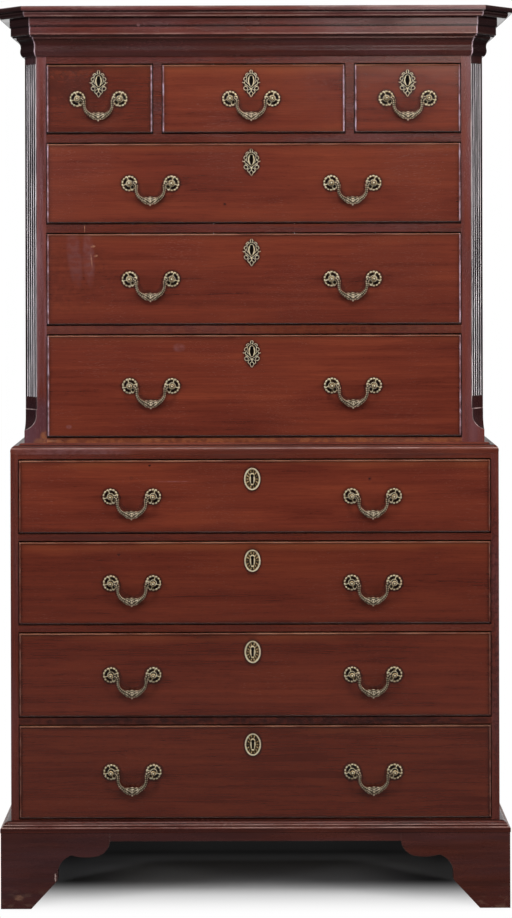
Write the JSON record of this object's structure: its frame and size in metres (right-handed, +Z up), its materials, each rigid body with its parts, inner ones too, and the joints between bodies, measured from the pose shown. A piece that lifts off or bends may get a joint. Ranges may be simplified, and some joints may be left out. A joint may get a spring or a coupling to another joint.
{
  "type": "chest on chest",
  "caption": "Tall mahogany chest on chest with canted fluted corners, a stepped cornice, cockbeaded sliding drawers, swan-neck bail handles and bracket feet.",
  "frame": {"origin": "on the floor under the middle of the whole piece, cornice front to back", "axes": "+Z up, -Y out of the drawer fronts, +X to the right as seen from the front"},
  "size_m": [1.106, 0.566, 1.9015],
  "materials": {
    "mahogany": "old red-brown mahogany, polished",
    "oak": "bare oak drawer linings",
    "pine": "bare aged pine",
    "brass": "old cast brass, gilt worn dull in the hollows"
  },
  "bodies": {
    "carcase": {"cornice_moulding": "mahogany", "upper_sides": "mahogany", "fluted_stiles": "mahogany", "upper_rails": "mahogany", "case_boards": "pine", "drawer_runners": "pine", "upper_back_boards": "pine", "waist_moulding": "mahogany", "lower_sides": "mahogany", "lower_rails": "mahogany", "lower_back_boards": "pine", "base_moulding": "mahogany", "bracket_feet": "mahogany"},
    "upper_drawer_left": {"upper_drawer_left_front": "mahogany", "upper_drawer_left_box": "oak", "upper_drawer_left_brasses": "brass"},
    "upper_drawer_left_bail": {"upper_drawer_left_bail": "brass"},
    "upper_drawer_middle": {"upper_drawer_middle_front": "mahogany", "upper_drawer_middle_box": "oak", "upper_drawer_middle_brasses": "brass"},
    "upper_drawer_middle_bail": {"upper_drawer_middle_bail": "brass"},
    "upper_drawer_right": {"upper_drawer_right_front": "mahogany", "upper_drawer_right_box": "oak", "upper_drawer_right_brasses": "brass"},
    "upper_drawer_right_bail": {"upper_drawer_right_bail": "brass"},
    "upper_drawer_2": {"upper_drawer_2_front": "mahogany", "upper_drawer_2_box": "oak", "upper_drawer_2_brasses": "brass"},
    "upper_drawer_2_bail_left": {"upper_drawer_2_bail_left": "brass"},
    "upper_drawer_2_bail_right": {"upper_drawer_2_bail_right": "brass"},
    "upper_drawer_3": {"upper_drawer_3_front": "mahogany", "upper_drawer_3_box": "oak", "upper_drawer_3_brasses": "brass"},
    "upper_drawer_3_bail_left": {"upper_drawer_3_bail_left": "brass"},
    "upper_drawer_3_bail_right": {"upper_drawer_3_bail_right": "brass"},
    "upper_drawer_4": {"upper_drawer_4_front": "mahogany", "upper_drawer_4_box": "oak", "upper_drawer_4_brasses": "brass"},
    "upper_drawer_4_bail_left": {"upper_drawer_4_bail_left": "brass"},
    "upper_drawer_4_bail_right": {"upper_drawer_4_bail_right": "brass"},
    "lower_drawer_1": {"lower_drawer_1_front": "mahogany", "lower_drawer_1_box": "oak", "lower_drawer_1_brasses": "brass"},
    "lower_drawer_1_bail_left": {"lower_drawer_1_bail_left": "brass"},
    "lower_drawer_1_bail_right": {"lower_drawer_1_bail_right": "brass"},
    "lower_drawer_2": {"lower_drawer_2_front": "mahogany", "lower_drawer_2_box": "oak", "lower_drawer_2_brasses": "brass"},
    "lower_drawer_2_bail_left": {"lower_drawer_2_bail_left": "brass"},
    "lower_drawer_2_bail_right": {"lower_drawer_2_bail_right": "brass"},
    "lower_drawer_3": {"lower_drawer_3_front": "mahogany", "lower_drawer_3_box": "oak", "lower_drawer_3_brasses": "brass"},
    "lower_drawer_3_bail_left": {"lower_drawer_3_bail_left": "brass"},
    "lower_drawer_3_bail_right": {"lower_drawer_3_bail_right": "brass"},
    "lower_drawer_4": {"lower_drawer_4_front": "mahogany", "lower_drawer_4_box": "oak", "lower_drawer_4_brasses": "brass"},
    "lower_drawer_4_bail_left": {"lower_drawer_4_bail_left": "brass"},
    "lower_drawer_4_bail_right": {"lower_drawer_4_bail_right": "brass"}
  },
  "joints": [
    {"name": "upper_drawer_left_slide", "type": "slide", "parent": "carcase", "child": "upper_drawer_left", "axis": [0, -1, 0], "range_m": [0, 0.36]},
    {"name": "upper_drawer_left_bail_swing", "type": "hinge", "parent": "upper_drawer_left", "child": "upper_drawer_left_bail", "pos_m": [-0.33, -0.233, 1.71025], "axis": [-1, 0, 0], "range_deg": [0, 160]},
    {"name": "upper_drawer_middle_slide", "type": "slide", "parent": "carcase", "child": "upper_drawer_middle", "axis": [0, -1, 0], "range_m": [0, 0.36]},
    {"name": "upper_drawer_middle_bail_swing", "type": "hinge", "parent": "upper_drawer_middle", "child": "upper_drawer_middle_bail", "pos_m": [-0.005, -0.233, 1.71025], "axis": [-1, 0, 0], "range_deg": [0, 160]},
    {"name": "upper_drawer_right_slide", "type": "slide", "parent": "carcase", "child": "upper_drawer_right", "axis": [0, -1, 0], "range_m": [0, 0.36]},
    {"name": "upper_drawer_right_bail_swing", "type": "hinge", "parent": "upper_drawer_right", "child": "upper_drawer_right_bail", "pos_m": [0.328, -0.233, 1.71025], "axis": [-1, 0, 0], "range_deg": [0, 160]},
    {"name": "upper_drawer_2_slide", "type": "slide", "parent": "carcase", "child": "upper_drawer_2", "axis": [0, -1, 0], "range_m": [0, 0.36]},
    {"name": "upper_drawer_2_bail_left_swing", "type": "hinge", "parent": "upper_drawer_2", "child": "upper_drawer_2_bail_left", "pos_m": [-0.22, -0.233, 1.53025], "axis": [-1, 0, 0], "range_deg": [0, 160]},
    {"name": "upper_drawer_2_bail_right_swing", "type": "hinge", "parent": "upper_drawer_2", "child": "upper_drawer_2_bail_right", "pos_m": [0.21, -0.233, 1.53025], "axis": [-1, 0, 0], "range_deg": [0, 160]},
    {"name": "upper_drawer_3_slide", "type": "slide", "parent": "carcase", "child": "upper_drawer_3", "axis": [0, -1, 0], "range_m": [0, 0.36]},
    {"name": "upper_drawer_3_bail_left_swing", "type": "hinge", "parent": "upper_drawer_3", "child": "upper_drawer_3_bail_left", "pos_m": [-0.22, -0.233, 1.32625], "axis": [-1, 0, 0], "range_deg": [0, 160]},
    {"name": "upper_drawer_3_bail_right_swing", "type": "hinge", "parent": "upper_drawer_3", "child": "upper_drawer_3_bail_right", "pos_m": [0.21, -0.233, 1.32625], "axis": [-1, 0, 0], "range_deg": [0, 160]},
    {"name": "upper_drawer_4_slide", "type": "slide", "parent": "carcase", "child": "upper_drawer_4", "axis": [0, -1, 0], "range_m": [0, 0.36]},
    {"name": "upper_drawer_4_bail_left_swing", "type": "hinge", "parent": "upper_drawer_4", "child": "upper_drawer_4_bail_left", "pos_m": [-0.22, -0.233, 1.09875], "axis": [-1, 0, 0], "range_deg": [0, 160]},
    {"name": "upper_drawer_4_bail_right_swing", "type": "hinge", "parent": "upper_drawer_4", "child": "upper_drawer_4_bail_right", "pos_m": [0.21, -0.233, 1.09875], "axis": [-1, 0, 0], "range_deg": [0, 160]},
    {"name": "lower_drawer_1_slide", "type": "slide", "parent": "carcase", "child": "lower_drawer_1", "axis": [0, -1, 0], "range_m": [0, 0.38]},
    {"name": "lower_drawer_1_bail_left_swing", "type": "hinge", "parent": "lower_drawer_1", "child": "lower_drawer_1_bail_left", "pos_m": [-0.26, -0.26, 0.8665], "axis": [-1, 0, 0], "range_deg": [0, 160]},
    {"name": "lower_drawer_1_bail_right_swing", "type": "hinge", "parent": "lower_drawer_1", "child": "lower_drawer_1_bail_right", "pos_m": [0.25, -0.26, 0.8665], "axis": [-1, 0, 0], "range_deg": [0, 160]},
    {"name": "lower_drawer_2_slide", "type": "slide", "parent": "carcase", "child": "lower_drawer_2", "axis": [0, -1, 0], "range_m": [0, 0.38]},
    {"name": "lower_drawer_2_bail_left_swing", "type": "hinge", "parent": "lower_drawer_2", "child": "lower_drawer_2_bail_left", "pos_m": [-0.26, -0.26, 0.6835], "axis": [-1, 0, 0], "range_deg": [0, 160]},
    {"name": "lower_drawer_2_bail_right_swing", "type": "hinge", "parent": "lower_drawer_2", "child": "lower_drawer_2_bail_right", "pos_m": [0.25, -0.26, 0.6835], "axis": [-1, 0, 0], "range_deg": [0, 160]},
    {"name": "lower_drawer_3_slide", "type": "slide", "parent": "carcase", "child": "lower_drawer_3", "axis": [0, -1, 0], "range_m": [0, 0.38]},
    {"name": "lower_drawer_3_bail_left_swing", "type": "hinge", "parent": "lower_drawer_3", "child": "lower_drawer_3_bail_left", "pos_m": [-0.26, -0.26, 0.489], "axis": [-1, 0, 0], "range_deg": [0, 160]},
    {"name": "lower_drawer_3_bail_right_swing", "type": "hinge", "parent": "lower_drawer_3", "child": "lower_drawer_3_bail_right", "pos_m": [0.25, -0.26, 0.489], "axis": [-1, 0, 0], "range_deg": [0, 160]},
    {"name": "lower_drawer_4_slide", "type": "slide", "parent": "carcase", "child": "lower_drawer_4", "axis": [0, -1, 0], "range_m": [0, 0.38]},
    {"name": "lower_drawer_4_bail_left_swing", "type": "hinge", "parent": "lower_drawer_4", "child": "lower_drawer_4_bail_left", "pos_m": [-0.26, -0.26, 0.2835], "axis": [-1, 0, 0], "range_deg": [0, 160]},
    {"name": "lower_drawer_4_bail_right_swing", "type": "hinge", "parent": "lower_drawer_4", "child": "lower_drawer_4_bail_right", "pos_m": [0.25, -0.26, 0.2835], "axis": [-1, 0, 0], "range_deg": [0, 160]}
  ]
}
